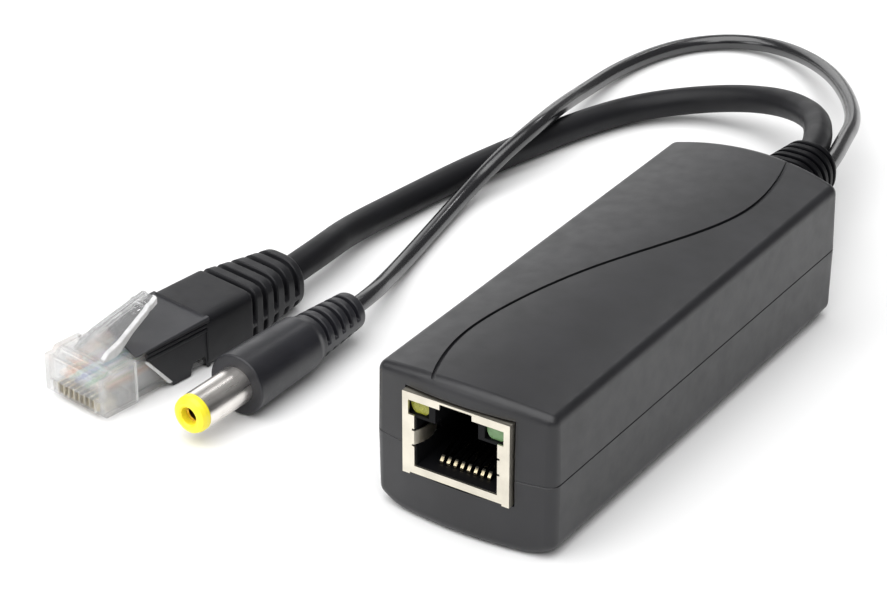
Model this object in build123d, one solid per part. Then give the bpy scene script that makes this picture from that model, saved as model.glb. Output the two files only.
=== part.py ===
from build123d import *
import math
import os

# A splitter for power over ethernet cable: a small two-part case with a network
# socket in its front, and two short leads out of its rear, one to a network plug
# and one to a round power plug.
# Millimetres. Z is up, the socket looks along -Y, the leads leave along +Y, and the
# origin is on the resting surface, under the middle of the case.

os.makedirs("parts", exist_ok=True)

# Case
overall_length = 79.5
case_width = 27.0
case_height = 22.2
parting_height = 11.0
case_wall = 1.6
end_bow = 1.7
top_crown = 1.5
corner_radius = 1.7
inner_corner_radius = 1.0
top_edge_radius = 1.4
bottom_edge_radius = 1.6
belly_flat_width = 17.0
belly_radius = 8.0
draft = 1.0
seam_chamfer = 0.12
lip_thickness = 0.7
lip_height = 1.2
lip_clearance = 0.1

# Groove that sweeps across the top
groove_width = 0.55
groove_depth = 0.4

# Board
board_top = 7.35
board_thickness = 1.6
board_width = 22.4
board_front_setback = 4.6
board_rear_gap = 8.6
board_corner_chamfer = 1.5
board_hold_clearance = 0.1
rib_thickness = 1.4
hole_clearance = 0.15

# Network socket
jack_width = 16.0
jack_headroom = 2.85
jack_depth = 21.4
jack_proud = 0.26
jack_case_clearance = 0.22
jack_fit = 0.05
shield_sheet = 0.3
shield_band_bottom = 1.35
shield_band_top = 1.1
socket_width = 12.0
socket_roof_drop = 3.55
socket_depth = 14.0
latch_way_width = 6.4
latch_notch_width = 4.8
led_pocket_width = 3.5
led_pocket_height = 2.1
led_pocket_edge = 0.9
led_depth = 6.0
led_fit = 0.05
contact_pitch = 1.02
contact_count = 8
contact_width = 0.45
contact_thickness = 0.3
contact_slot_clearance = 0.08
contact_rise = 0.44
spring_height = 2.0
spring_sheet = 0.25
spring_bulge = 0.55

# Rear strain relief for two leads
relief_axis_lift = 1.0
relief_length = 16.9
relief_base_width = 12.8
relief_base_height = 10.4
relief_end_width = 8.8
relief_end_height = 8.4
relief_end_shift = -0.3
relief_neck_width = 10.6
relief_neck_height = 8.0
relief_flange_width = 14.0
relief_flange_height = 11.4
relief_flange_thickness = 1.7
relief_groove_count = 8
relief_groove_pitch = 1.9
relief_groove_width = 0.75
relief_groove_depth = 0.9
relief_web = 1.6
relief_web_drop = 2.2
relief_wall_gap = 0.9
relief_neck_fit = 0.1

# Leads
data_lead_diameter = 4.4
power_lead_diameter = 2.5
data_exit_x = -1.75
power_exit_x = 2.05

# Network plug on the data lead
plug_x = -60.2
plug_y = -42.0
plug_turn = 8.5
plug_lift = 0.75
plug_width = 11.68
plug_height = 6.6
plug_length = 21.4
plug_rear_width = 10.0
plug_wall = 0.8
plug_nose_length = 5.6
latch_width = 6.0
latch_tail_width = 3.6
latch_thickness = 1.2
latch_length = 13.0
latch_rise = 5.0
boot_overlap = 14.1
boot_cheek_setback = 1.4
boot_body_overlap = 1.5
boot_body_length = 8.5
boot_tail_length = 12.2
boot_width = 11.2
boot_height = 8.3
boot_end_width = 8.9
boot_end_height = 8.0
boot_rail_width = 11.1
boot_rail_low = 5.9
boot_cheek_width = 10.8
boot_groove_count = 5
boot_groove_pitch = 2.35
boot_groove_width = 0.9
boot_groove_depth = 0.95
boot_web = 1.3
boot_web_low = 2.5
boot_fit = 0.06

# Round power plug
dc_x = -41.7
dc_y = -40.9
dc_turn = 2.5
dc_barrel_diameter = 5.5
dc_bore_diameter = 2.1
dc_barrel_length = 10.2
dc_tip_length = 1.6
dc_barrel_wall = 0.45
dc_shank_step = 0.2
dc_shank_length = 4.0
dc_body_diameter = 9.0
dc_body_rear_diameter = 8.2
dc_body_length = 14.6
dc_relief_length = 10.9
dc_relief_diameter = 7.2
dc_relief_end_diameter = 5.6
dc_groove_count = 5
dc_groove_width = 0.75
dc_groove_depth = 0.85
dc_web = 1.5

# Derived places
boot_start = plug_length - boot_overlap
boot_body_start = plug_length - boot_body_overlap
boot_body_end = boot_body_start + boot_body_length
boot_end = boot_body_end + boot_tail_length
plug_rear_start = boot_start + boot_cheek_setback - 0.2
boot_core_start = plug_length - 5.6
front_y = -overall_length / 2
case_front = front_y + jack_proud
case_rear = overall_length / 2
case_middle = (case_front + case_rear) / 2
case_length = case_rear - case_front
half_width = case_width / 2
board_bottom = board_top - board_thickness
board_front = front_y + board_front_setback
board_rear = case_rear - board_rear_gap
jack_top = case_height - jack_headroom
jack_height = jack_top - board_top
jack_rear = front_y + jack_depth
wall_inner_rear = case_rear - case_wall
relief_axis_height = case_height / 2 + relief_axis_lift


def block(x0, x1, y0, y1, z0, z1):
    """Box between two corners."""
    size = Box(x1 - x0, y1 - y0, z1 - z0)
    return Pos((x0 + x1) / 2, (y0 + y1) / 2, (z0 + z1) / 2) * size


def upright(x, y, z, diameter, height):
    """Round pillar standing on z."""
    return Pos(x, y, z + height / 2) * Cylinder(diameter / 2, height)


def plan_face(inset=0.0):
    """Case outline from above: straight sides, bowed ends, round corners."""
    w = half_width - inset
    chord = case_length / 2 - end_bow
    bow_radius = (half_width ** 2 + end_bow ** 2) / (2 * end_bow)
    centre = chord + end_bow - bow_radius
    radius = bow_radius - inset
    side_end = centre + math.sqrt(radius ** 2 - w ** 2)
    tip = centre + radius
    rear = ThreePointArc((w, side_end), (0, tip), (-w, side_end))
    front = ThreePointArc((-w, -side_end), (0, -tip), (w, -side_end))
    sides = [Line((-w, side_end), (-w, -side_end)), Line((w, -side_end), (w, side_end))]
    face = make_face([rear, sides[0], front, sides[1]])
    face = fillet(face.vertices(), max(corner_radius - inset, inner_corner_radius))
    return Pos(0, case_middle) * face


def arch_prism(drop, low, high_width):
    """Long prism whose top is the shallow arch of the case, lowered by drop."""
    w = half_width * 1.2
    radius = (half_width ** 2 + top_crown ** 2) / (2 * top_crown) - drop
    peak = case_height - drop
    edge = peak - radius + math.sqrt(radius ** 2 - w ** 2)
    arch = ThreePointArc((-w, edge), (0, peak), (w, edge))
    base = Polyline((w, edge), (w, low), (-w, low), (-w, edge))
    face = Plane.XZ * make_face([arch, base])
    return Pos(0, case_middle + high_width) * extrude(face, amount=2 * high_width)


def belly_prism(lift, high, reach):
    """Long prism with a flat bottom that curves up towards both long edges."""
    flat = belly_flat_width / 2
    w = half_width * 1.05
    radius = belly_radius - lift
    turn = math.asin((w - flat) / radius)
    rise = lift + radius * (1 - math.cos(turn))
    middle = math.asin((w - flat) / radius) / 2
    mid_x = flat + radius * math.sin(middle)
    mid_z = lift + radius * (1 - math.cos(middle))
    right = ThreePointArc((flat, lift), (mid_x, mid_z), (w, rise))
    left = ThreePointArc((-w, rise), (-mid_x, mid_z), (-flat, lift))
    rest = Polyline((w, rise), (w, high), (-w, high), (-w, rise))
    face = Plane.XZ * make_face([Line((-flat, lift), (flat, lift)), right, rest, left])
    return Pos(0, case_middle + reach) * extrude(face, amount=2 * reach)


def upper_form(inset, edge_radius):
    """Upper half of the case as a solid form, drawn in by inset all round."""
    tall = extrude(Pos(0, 0, parting_height) * plan_face(inset), amount=case_height, taper=draft)
    form = tall & arch_prism(inset, parting_height - 1, case_length)
    crown_edges = form.edges().filter_by(lambda e: e.center().Z > case_height - inset - top_crown - 0.6)
    return fillet(crown_edges, edge_radius)


def lower_form(inset, edge_radius):
    """Lower half of the case as a solid form, drawn in by inset all round."""
    tall = extrude(plan_face(inset), amount=case_height, taper=draft)
    tall = mirror(tall, about=Plane.XY)
    form = Pos(0, 0, parting_height) * tall & belly_prism(inset, parting_height + 1, case_length)
    belly_edges = form.edges().filter_by(lambda e: e.center().Z < inset + 2.6)
    return fillet(belly_edges, edge_radius)


def seam_break(form, upper):
    """Fine chamfer round the outer edge where the two halves meet."""
    face = form.faces().sort_by(Axis.Z)[0 if upper else -1]
    return chamfer(face.edges(), seam_chamfer)


def jack_window(clearance):
    """Block of the socket's outline that passes through the front wall."""
    side = jack_width / 2 + clearance
    low = board_top - clearance
    return block(-side, side, front_y - 2, front_y + 8, low, jack_top + clearance)


def oval(width, height, y, shift=0.0):
    """Upright oval face, almost round at its sides, in the plane at y."""
    radius = height / 2 - 0.35
    face = RectangleRounded(width, height, radius)
    return Pos(shift, y, relief_axis_height) * (Plane.XZ * face)


def sweep_groove():
    """Narrow cutter that follows the long S across the top."""
    shares = [(-0.415, -0.870), (-0.519, -0.667), (-0.459, -0.460), (-0.156, -0.101),
              (0.319, 0.292), (0.519, 0.569), (0.489, 0.790)]
    start = (-0.237 * half_width, front_y - 0.6)
    end = (0.311 * half_width, case_rear + 0.8)
    route = Spline(start, *[(x * half_width, y * case_rear) for x, y in shares], end)
    band = trace(route, line_width=groove_width)
    prism = extrude(Pos(0, 0, case_height - 8) * band, amount=16)
    skin = arch_prism(-1.0, case_height - 8, case_length) - arch_prism(groove_depth, 0, case_length)
    return prism & skin


def top_cover():
    """Upper shell: arched top, drafted walls, hold-down ribs, a rebate for the lip."""
    shell = seam_break(upper_form(0.0, top_edge_radius), True)
    shell -= upper_form(case_wall, 0.6)
    rebate_face = plan_face(case_wall - lip_thickness - lip_clearance)
    shell -= extrude(Pos(0, 0, parting_height) * rebate_face, amount=lip_height + lip_clearance)
    room = upper_form(case_wall - 0.2, 0.6)
    foot = board_top + board_hold_clearance
    for y in rib_places:
        for side in (-1, 1):
            inner = side * (board_width / 2 - 0.8)
            outer = side * half_width
            low = parting_height + lip_height + 0.2
            rib = block(min(inner, outer), max(inner, outer), y, y + rib_thickness, low, case_height)
            shell += rib & room
            leg_outer = side * (board_width / 2 + 0.1)
            leg = (min(inner, leg_outer), max(inner, leg_outer))
            shell += block(leg[0], leg[1], y, y + rib_thickness, foot, low + 0.1)
    shell -= jack_window(jack_case_clearance)
    shell -= relief_opening()
    shell -= sweep_groove()
    return shell


def relief_opening():
    """Hole in the rear wall for the neck of the strain relief."""
    fit = 2 * relief_neck_fit
    face = oval(relief_neck_width + fit, relief_neck_height + fit, case_rear + 2)
    return extrude(face, amount=8)


def bottom_cover():
    """Lower shell: flat belly, drafted walls, a lip at the seam and ledges for the board."""
    shell = seam_break(lower_form(0.0, bottom_edge_radius), False)
    shell -= lower_form(case_wall, 0.8)
    lip = plan_face(case_wall - lip_thickness) - plan_face(case_wall)
    shell += extrude(Pos(0, 0, parting_height) * lip, amount=lip_height)
    room = lower_form(case_wall - 0.2, 0.8)
    for y in rib_places:
        for side in (-1, 1):
            inner = side * (board_width / 2 - 1.6)
            outer = side * half_width
            ledge = block(min(inner, outer), max(inner, outer), y, y + rib_thickness, 0, board_bottom)
            shell += ledge & room
    shell -= jack_window(jack_case_clearance)
    shell -= relief_opening()
    return shell


# The board behind the socket is laid out in 50 rows, and tall parts end under the roof
row = (board_rear - jack_rear) / 50


def row_y(rows):
    """Place along the board, counted in rows from the back of the socket."""
    return jack_rear + rows * row


rib_places = (board_front + 5.0, row_y(14.5), board_rear - 7.0)

# Parts on the board: place of the middle and the size of each body
tall = jack_height - 0.5
input_capacitor = {"x": -6.2, "y": row_y(33.7), "d": 8.0 * row, "h": tall, "pitch": 3.5 * row}
output_capacitors = {"x": 6.8, "d": 6.3 * row, "h": tall - 0.5, "pitch": 2.5 * row}
output_rows = (row_y(36.3), row_y(43.8))
transformer = {"x": 3.9, "y": row_y(22.2), "w": 12.6, "l": 12.2 * row, "h": tall + 0.1}
pin_rows = 10.0 * row
choke = {"x": 0.1, "y": row_y(43.0), "d": 6.0 * row, "h": 5.2}
magnetics_chip = {"x": -4.9, "y": row_y(6.8), "w": 7.0, "l": 12.6 * row, "h": 5.6,
                  "count": 8, "pitch": 1.27 * row, "span": 9.4}
controller_chip = {"x": -6.0, "y": row_y(21.2), "w": 3.9, "l": 4.9 * row, "h": 1.6,
                   "count": 4, "pitch": 1.27 * row, "span": 6.0}
coupler_chip = {"x": -7.4, "y": row_y(26.2), "w": 3.6, "l": 2.6 * row, "h": 2.0,
                "count": 2, "pitch": 1.27 * row, "span": 5.6}
rectifier_chip = {"x": 4.4, "w": 3.9, "l": 4.7 * row, "h": 2.4, "count": 2, "pitch": 2.54 * row, "span": 6.4}
rectifier_rows = (row_y(4.8), row_y(11.1))
diode_chip = {"x": 0.2, "y": row_y(32.1), "w": 2.6, "l": 4.4 * row, "h": 2.2}
resistor_size = (1.6, 0.9 * row, 0.5)
capacitor_chip_size = (1.6, 1.0 * row, 0.9)
resistor_places = [(9.8, row_y(4.0 + 2.2 * i)) for i in range(4)]
resistor_places += [(-8.6 + 2.4 * i, row_y(15.7)) for i in range(3)]
chip_capacitor_places = [(2.4, row_y(1.4)), (5.4, row_y(1.4)), (0.6, row_y(36.1)), (0.6, row_y(38.0)),
                         (-9.2, row_y(40.8)), (-6.4, row_y(40.8))]
pin_diameter = 0.7
pin_square = 0.6
lead_diameter = 1.0
pin_reach = 1.2

lead_y = board_rear - 1.8 * row
data_lead_places = [(-9.8 + 1.25 * i, lead_y) for i in range(8)]
power_lead_places = [(3.6, lead_y), (7.2, lead_y)]


def jack_tails():
    """Board places of the eight contact tails, in two staggered rows."""
    rows = (front_y + 16.2, front_y + 18.4)
    first = -(contact_count - 1) / 2 * contact_pitch
    return [(first + i * contact_pitch, rows[i % 2]) for i in range(contact_count)]


def led_tails():
    """Board places of the legs of the two lamps."""
    places = []
    for side in (-1, 1):
        for inset in (0.9, 2.6):
            places.append((side * (jack_width / 2 - shield_sheet - inset), jack_rear - 1.4))
    return places


def capacitor_pins():
    """Board places of the legs of the three round capacitors."""
    half = input_capacitor["pitch"] / 2
    places = [(input_capacitor["x"] + s * half, input_capacitor["y"]) for s in (-1, 1)]
    half = output_capacitors["pitch"] / 2
    for y in output_rows:
        places += [(output_capacitors["x"] + s * half, y) for s in (-1, 1)]
    return places


def transformer_pins():
    """Board places of the eight pins of the power transformer."""
    half = pin_rows / 2
    xs = [transformer["x"] + (i - 1.5) * 2.5 for i in range(4)]
    return [(x, transformer["y"] + s * half) for s in (-1, 1) for x in xs]


def circuit_board():
    """Board with chamfered corners and one hole for every leg that goes through it."""
    outline = Rectangle(board_width, board_rear - board_front)
    outline = chamfer(outline.vertices(), board_corner_chamfer)
    middle = (board_front + board_rear) / 2
    board = extrude(Pos(0, middle, board_bottom) * outline, amount=board_thickness)
    groups = (
        (jack_tails(), contact_width),
        (led_tails(), 0.5),
        (capacitor_pins(), pin_diameter),
        (transformer_pins(), pin_diameter),
    )
    for places, size in groups:
        for px, py in places:
            radius = size / 2 * 1.25 + hole_clearance
            board -= Pos(px, py, board_bottom + board_thickness / 2) * Cylinder(radius, board_thickness * 2)
    return board


def window_face():
    """Opening of the metal front: main window, two lamp pockets and the latch notch."""
    half = socket_width / 2 + 0.2
    low = board_top + shield_band_bottom
    high = jack_top - shield_band_top
    main = Pos(0, (low + high) / 2) * Rectangle(2 * half, high - low)
    pocket_x = jack_width / 2 - led_pocket_edge - led_pocket_width / 2
    for side in (-1, 1):
        place = Pos(side * pocket_x, high - led_pocket_height / 2)
        main += place * Rectangle(led_pocket_width, led_pocket_height)
    notch_top = jack_top - shield_sheet
    main += Pos(0, notch_top - 1) * Rectangle(latch_notch_width, 2)
    return Plane.XZ * main


def jack_shield():
    """Folded metal can: front with its window, roof, sides, back and two spring fingers."""
    side = jack_width / 2
    can = block(-side, side, front_y, jack_rear, board_top, jack_top)
    inside = side - shield_sheet
    hollow_front = front_y + shield_sheet
    hollow_rear = jack_rear - shield_sheet
    can -= block(-inside, inside, hollow_front, hollow_rear, board_top - 1, jack_top - shield_sheet)
    can -= Pos(0, front_y + 1, 0) * extrude(window_face(), amount=2)
    can -= block(-side + 1.1, side - 1.1, front_y - 1, hollow_front, board_top - 1, board_top + 0.25)
    middle = board_top + jack_height * 0.46
    for s in (-1, 1):
        root = s * (socket_width / 2 + 0.2)
        for z in (middle - spring_height / 2 - 0.3, middle + spring_height / 2):
            nick = (min(root, root + s * 0.35), max(root, root + s * 0.35))
            can -= block(nick[0], nick[1], front_y - 1, hollow_front, z, z + 0.3)
        can += spring_finger(s, root, middle)
    return can


def spring_finger(side, root, middle):
    """Earthing finger folded back from the edge of the window, bowed into the socket."""
    start = root + side * spring_sheet / 2
    bow = root - side * spring_bulge
    back = front_y + 5.2
    route = Spline((start, front_y + 0.05), (bow, front_y + 2.3), (start, back))
    strip = trace(route, line_width=spring_sheet)
    return extrude(Pos(0, 0, middle - spring_height / 2) * strip, amount=spring_height)


def contact_profile(tail_y):
    """Side outline of one socket wire: tail, floor run, front bend and rising spring."""
    floor_z = board_top + 0.55
    front = front_y + 2.4
    path = Polyline(
        (tail_y, board_bottom - 0.9),
        (tail_y, floor_z),
        (front + 0.5, floor_z),
        (front, floor_z + 0.5),
        (front, floor_z + 1.2),
        (front + 0.5, floor_z + 1.8),
        (front + 8.4, board_top + contact_rise * jack_height),
    )
    return trace(path, line_width=contact_thickness)


def jack_contacts():
    """Eight sprung wires, each bent from one strip, with staggered tails."""
    wires = []
    for x, tail_y in jack_tails():
        face = Plane.YZ * contact_profile(tail_y)
        wires.append(Pos(x - contact_width / 2, 0, 0) * extrude(face, amount=contact_width))
    return Compound(children=wires)


def led_place(side):
    """Corner values of one lamp's body in its channel of the socket insert."""
    outer = side * (jack_width / 2 - led_pocket_edge)
    inner = side * (jack_width / 2 - led_pocket_edge - 2.9)
    top = jack_top - shield_band_top
    return min(inner, outer), max(inner, outer), top - 2.0, top


def led(side):
    """Lamp: a bar with a D-shaped lens in front and two legs down through the board."""
    x0, x1, z0, z1 = led_place(side)
    front = front_y + 0.75
    middle = (x0 + x1) / 2
    radius = (x1 - x0) / 2
    lens = Pos(middle, z1 - 0.75) * Circle(radius)
    lens += Pos(middle, z1 - 0.375) * Rectangle(2 * radius, 0.75)
    lens &= Pos(middle, z1 - 1.0) * Rectangle(2 * radius, 2.0)
    lamp = Pos(0, front + led_depth, 0) * extrude(Plane.XZ * lens, amount=led_depth)
    places = led_tails()[:2] if side < 0 else led_tails()[2:]
    for index, (x, y) in enumerate(places):
        z = (z0 + z1) / 2
        lamp += block(x - 0.2, x + 0.2, front + led_depth - 0.2, y + 0.2, z - 0.2, z + 0.2)
        lamp += block(x - 0.2, x + 0.2, y - 0.2, y + 0.2, board_bottom - 0.9, z + 0.2)
    return lamp


def jack_housing():
    """Black insert of the socket, with the plug's well, lamp channels and a comb of slots."""
    side = jack_width / 2 - shield_sheet - jack_fit
    front = front_y + shield_sheet
    rear = jack_rear - shield_sheet - jack_fit
    roof = jack_top - shield_sheet - jack_fit
    body = block(-side, side, front, rear, board_top, roof)
    low = board_top + shield_band_bottom + 0.1
    mouth = front + socket_depth
    well_top = jack_top - socket_roof_drop
    body -= block(-socket_width / 2, socket_width / 2, front - 1, mouth, low, well_top)
    way = latch_way_width / 2
    body -= block(-way, way, front - 1, mouth - 2, low, roof + 1)
    for s in (-1, 1):
        x0, x1, z0, z1 = led_place(s)
        fit = led_fit
        body -= block(x0 - fit, x1 + fit, front - 1, rear - 2.6, z0 - fit, z1 + fit)
        root = s * (socket_width / 2 - 0.1)
        deep = s * (socket_width / 2 + 0.9)
        middle = board_top + jack_height * 0.46
        half = spring_height / 2 + 0.25
        body -= block(min(root, deep), max(root, deep), front - 1, front + 5.6, middle - half, middle + half)
        for x, y in led_tails():
            z_mid = (z0 + z1) / 2
            body -= block(x - 0.35, x + 0.35, y - 2.0, rear + 1, board_top - 1, z_mid + 0.4)
    half_slot = contact_width / 2 + contact_slot_clearance
    for x, tail_y in jack_tails():
        cut_rear = tail_y + 0.3
        body -= block(x - half_slot, x + half_slot, front_y + 2.1, cut_rear, board_top + 0.3, low + 0.6)
        body -= block(x - half_slot, x + half_slot, tail_y - 0.3, cut_rear, board_top - 1, board_top + 0.8)
    return body


def round_capacitor(x, y, d, h, pitch):
    """Electrolytic can: grooved sleeve near its foot, round shoulders and two legs."""
    r = d / 2
    neck = r - 0.35
    side = Polyline((0, 0), (r - 0.3, 0), (r, 0.3), (r, 1.2), (neck, 1.6), (r, 2.0), (r, h - 0.5))
    shoulder = Polyline((r, h - 0.5), (r - 0.5, h), (r - 0.9, h - 0.15), (0, h - 0.15), (0, 0))
    can = revolve(Plane.XZ * make_face([side, shoulder]), axis=Axis.Z)
    can = Pos(x, y, board_top) * can
    for s in (-1, 1):
        length = board_thickness + pin_reach + 0.3
        can += upright(x + s * pitch / 2, y, board_bottom - pin_reach, pin_diameter, length)
    return can


def transformer_core():
    """Two halves of a ferrite core that meet round the winding, as one closed frame."""
    t = transformer
    z0 = board_top + 2.0
    z1 = z0 + t["h"] - 2.0
    half = t["w"] / 2
    depth = 3.2 * row
    core = block(t["x"] - half, t["x"] + half, t["y"] - depth, t["y"] + depth, z0, z1)
    reach = half - 1.7
    core -= block(t["x"] - reach, t["x"] + reach, t["y"] - 9, t["y"] + 9, z0 + 1.7, z1 - 1.7)
    post = Cylinder(2.0, z1 - z0 - 2)
    core += Pos(t["x"], t["y"], (z0 + z1) / 2) * post
    return core


def transformer_bobbin():
    """Bobbin round the core's post: two flanges, a tube, a pin bar and eight pins."""
    t = transformer
    z0 = board_top + 3.85
    z1 = board_top + t["h"] - 1.85
    half = t["w"] / 2 - 1.95
    tube = upright(t["x"], t["y"], z0, 5.6, z1 - z0)
    deep = 4.6 * row
    low = block(t["x"] - half, t["x"] + half, t["y"] - deep, t["y"] + deep, z0, z0 + 0.7)
    high = block(t["x"] - half, t["x"] + half, t["y"] - deep, t["y"] + deep, z1 - 0.7, z1)
    body = tube + low + high
    wide = t["w"] / 2 - 0.9
    for s in (-1, 1):
        y0 = t["y"] + s * 3.5 * row
        y1 = t["y"] + s * (t["l"] / 2)
        body += block(t["x"] - wide, t["x"] + wide, min(y0, y1), max(y0, y1), board_top, z0 + 0.7)
    body -= upright(t["x"], t["y"], z0 - 3, 4.3, z1 - z0 + 6)
    half_pin = pin_square / 2
    for x, y in transformer_pins():
        foot = board_bottom - pin_reach
        body += block(x - half_pin, x + half_pin, y - half_pin, y + half_pin, foot, board_top + 0.5)
    return body


def transformer_winding():
    """Taped winding that fills the bobbin between its flanges."""
    t = transformer
    z0 = board_top + 4.6
    z1 = board_top + t["h"] - 2.6
    outer = upright(t["x"], t["y"], z0, 8.4, z1 - z0)
    return outer - upright(t["x"], t["y"], z0 - 1, 5.7, z1 - z0 + 2)


def chip(x, y, w, l, h, lift=0.0, edge=0.25):
    """Flat moulded chip body with chamfered upper edges."""
    body = block(x - w / 2, x + w / 2, y - l / 2, y + l / 2, board_top + lift, board_top + lift + h)
    return chamfer(body.faces().sort_by(Axis.Z)[-1].edges(), edge)


def gull_leads(x, y, w, count, pitch, span, height):
    """Two rows of bent leads: each steps out of the body and down to the board."""
    leads = []
    for s in (-1, 1):
        inner = x + s * w / 2
        outer = x + s * span / 2
        knee = inner + s * 0.45
        profile = Polyline((inner - s * 0.3, height), (knee, height), (knee, 0.12), (outer, 0.12))
        face = trace(profile, line_width=0.22)
        for i in range(count):
            yy = y + (i - (count - 1) / 2) * pitch
            leads.append(Pos(0, yy + 0.2, board_top) * extrude(Plane.XZ * face, amount=0.4))
    return leads


def leaded_chip(x, y, w, l, h, count, pitch, span, lift=0.15):
    """Chip body with its two rows of leads, all in one piece."""
    body = chip(x, y, w, l, h, lift)
    for lead in gull_leads(x, y, w, count, pitch, span, h * 0.45):
        body += lead
    return body


def choke_coil():
    """Drum choke: two flanges and the wound waist between them."""
    r = choke["d"] / 2
    h = choke["h"]
    waist = r - 0.7
    outline = Polyline((0, 0), (r, 0), (r, 1.0), (waist, 1.3), (waist, h - 1.3),
                       (r, h - 1.0), (r, h), (0, h), (0, 0))
    drum = revolve(Plane.XZ * make_face(outline), axis=Axis.Z)
    return Pos(choke["x"], choke["y"], board_top) * drum


def small_parts(places, w, l, h):
    """Row of small two-ended chips lying on the board."""
    return Compound(children=[block(x - w / 2, x + w / 2, y - l / 2, y + l / 2, board_top, board_top + h)
                              for x, y in places])


def inner_leads(start_x, start_z, places, spread):
    """Insulated wires from the strain relief down to their solder pads on the board."""
    start_y = wall_inner_rear - relief_wall_gap - relief_flange_thickness
    knee_z = board_top + 2.6
    wires = []
    for i, (x, y) in enumerate(places):
        x0 = start_x + (i - (len(places) - 1) / 2) * spread
        path = Polyline((x0, start_y, start_z), (x0, start_y - 1.6, start_z),
                        (x, y, knee_z), (x, y, board_top))
        ring = Plane(origin=path @ 0, z_dir=path % 0) * Circle(lead_diameter / 2)
        wires.append(sweep(ring, path=path, transition=Transition.RIGHT))
    return Compound(children=wires)


def relief_form(y, inset):
    """Tapering tail of the strain relief from y to its end, drawn in by inset all round."""
    d = 2 * inset
    start = oval(relief_base_width - d, relief_base_height - d, y)
    end = oval(relief_end_width - d, relief_end_height - d, case_rear + relief_length, relief_end_shift)
    return loft([start.face(), end.face()])


def strain_relief():
    """Rubber grommet for both leads: inner flange, neck in the wall, ribbed tapering tail."""
    root = case_rear + 0.12
    end = case_rear + relief_length
    tail = relief_form(root, 0.0)
    core = relief_form(root, relief_groove_depth)
    low = relief_axis_height - relief_web_drop - relief_web / 2
    web = block(-20, 20, root - 1, end + 1, low, low + relief_web)
    for i in range(relief_groove_count):
        y = end - (i + 1) * relief_groove_pitch
        tail -= block(-20, 20, y, y + relief_groove_width, 0, 40) - core - web
    tail = fillet(tail.faces().sort_by(Axis.Y)[-1].edges(), 0.6)
    neck_face = oval(relief_neck_width, relief_neck_height, root)
    flange_rear = wall_inner_rear - relief_wall_gap
    tail += extrude(neck_face, amount=root - flange_rear + 0.5)
    flange = oval(relief_flange_width, relief_flange_height, flange_rear)
    tail += extrude(flange, amount=relief_flange_thickness)
    return tail


def tube(points, diameter, name):
    """Cord as straight runs joined by tangent arcs, each as large as its runs allow."""
    vectors = [Vector(*p) for p in points]
    radii = []
    for a, b, c in zip(vectors, vectors[1:], vectors[2:]):
        turn = (b - a).get_angle(c - b)
        shorter = min((b - a).length, (c - b).length)
        radii.append(0.45 * shorter / math.tan(math.radians(turn) / 2))
    path = FilletPolyline(*points, radius=radii)
    ring = Plane(origin=path @ 0, z_dir=path % 0) * Circle(diameter / 2)
    cord = sweep(ring, path=path)
    section = math.pi * diameter ** 2 / 4
    print(name, "length", round(path.length, 1), "radii", [round(r, 1) for r in radii])
    print(name, "volume over section times length", round(cord.volume / (section * path.length), 4))
    return cord


# Routes of the two leads, chosen by hand: out of the strain relief, down to the
# resting surface, and forward to the plugs
data_rest = data_lead_diameter / 2 + 0.1
power_rest = power_lead_diameter / 2 + 0.1
crossing_height = 8.85
relief_end_y = case_rear + relief_length
dc_end = dc_barrel_length + dc_body_length + dc_relief_length
boot_axis_height = boot_height / 2 + 0.05
dc_axis_height = dc_body_diameter / 2 + 0.05


def turned(x, y, turn, across, along, z):
    """Point of a plug, given across and along its own axis."""
    a = math.radians(turn)
    return (x + across * math.cos(a) + along * math.sin(a), y - across * math.sin(a) + along * math.cos(a), z)


data_route = [
    (data_exit_x, relief_end_y, relief_axis_height),
    (data_exit_x, 64.8, relief_axis_height),
    (-4.5, 72.4, 11.4),
    (-9.7, 78.6, 9.9),
    (-16.7, 82.7, 8.1),
    (-24.7, 84.1, 6.2),
    (-32.7, 82.7, 4.4),
    (-39.8, 78.6, 3.0),
    (-45.0, 72.3, data_rest),
    (-49.4, 60.6, data_rest),
    (-52.6, 47.2, data_rest),
    (-54.8, 33.8, data_rest),
    (-55.8, 20.6, data_rest + 0.2),
    turned(plug_x, plug_y, plug_turn, 0.0, boot_end + 8.0, boot_axis_height),
    turned(plug_x, plug_y, plug_turn, 0.0, boot_end, boot_axis_height),
]

power_route = [
    (power_exit_x, relief_end_y, relief_axis_height),
    (power_exit_x, 62.4, relief_axis_height),
    (0.0, 72.0, 11.0),
    (-4.6, 83.2, 9.0),
    (-12.0, 95.4, 6.6),
    (-22.0, 105.8, 4.2),
    (-33.8, 111.6, 2.0),
    (-44.2, 109.0, power_rest),
    (-50.6, 99.6, power_rest),
    (-52.2, 88.4, 1.9),
    (-51.4, 77.2, 4.6),
    (-49.3, 66.0, crossing_height),
    (-47.7, 54.5, crossing_height),
    (-47.9, 43.0, 4.6),
    (-47.6, 30.5, 1.6),
    (-45.4, 16.5, 1.8),
    turned(dc_x, dc_y, dc_turn, 0.0, dc_end + 8.0, dc_axis_height),
    turned(dc_x, dc_y, dc_turn, 0.0, dc_end, dc_axis_height),
]


def plug_place():
    """Where the network plug lies: its own +Y runs from its nose to the lead."""
    return Pos(plug_x, plug_y, 0) * Rot(0, 0, -plug_turn)


def dc_place():
    """Where the power plug lies: its own +Y runs from its tip to the lead."""
    return Pos(dc_x, dc_y, dc_axis_height) * Rot(0, 0, -dc_turn)


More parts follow.
